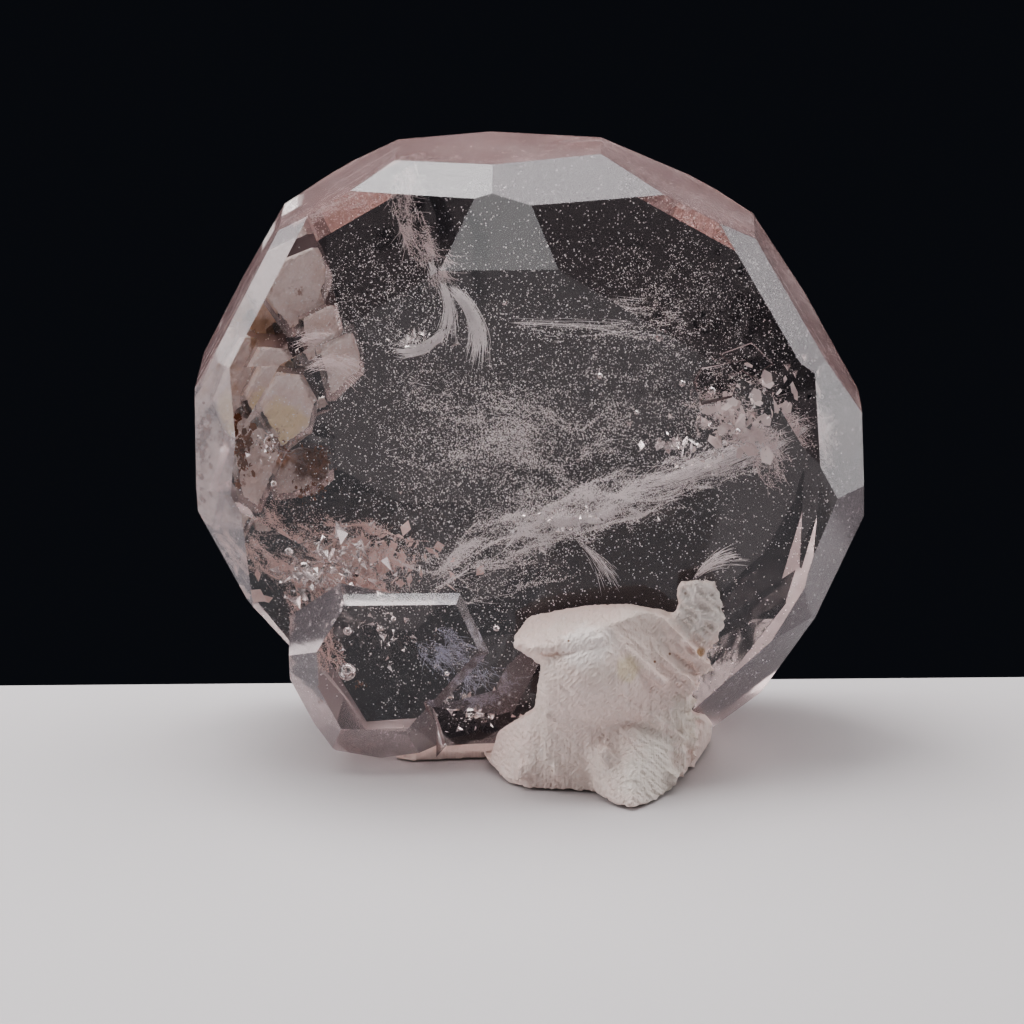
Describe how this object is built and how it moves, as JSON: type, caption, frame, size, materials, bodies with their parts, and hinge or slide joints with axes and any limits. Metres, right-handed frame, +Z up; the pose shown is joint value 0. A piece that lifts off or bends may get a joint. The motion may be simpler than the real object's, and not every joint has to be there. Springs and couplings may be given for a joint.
{
  "type": "morganite crystal specimen",
  "caption": "A thick, pale pink tabular morganite crystal standing on edge, with a smaller parallel crystal, on a lump of white albite",
  "frame": {"origin": "On the ground under the crystal's centre, on the flat foot of the albite", "axes": "+Z is up, the crystal's c axis lies along Y and its large basal face looks towards -Y, and +X is to the right when facing that face"},
  "size_m": [0.0587, 0.0336, 0.054],
  "materials": {
    "morganite": "clear, lustrous crystal faces with fine growth lines",
    "albite": "white bladed feldspar with pearly cleavages",
    "stained_albite": "cream blades with brown iron stains"
  },
  "bodies": {
    "root": {"morganite_crystal": "morganite", "albite_matrix": "albite", "albite_blades": "stained_albite"}
  },
  "joints": []
}
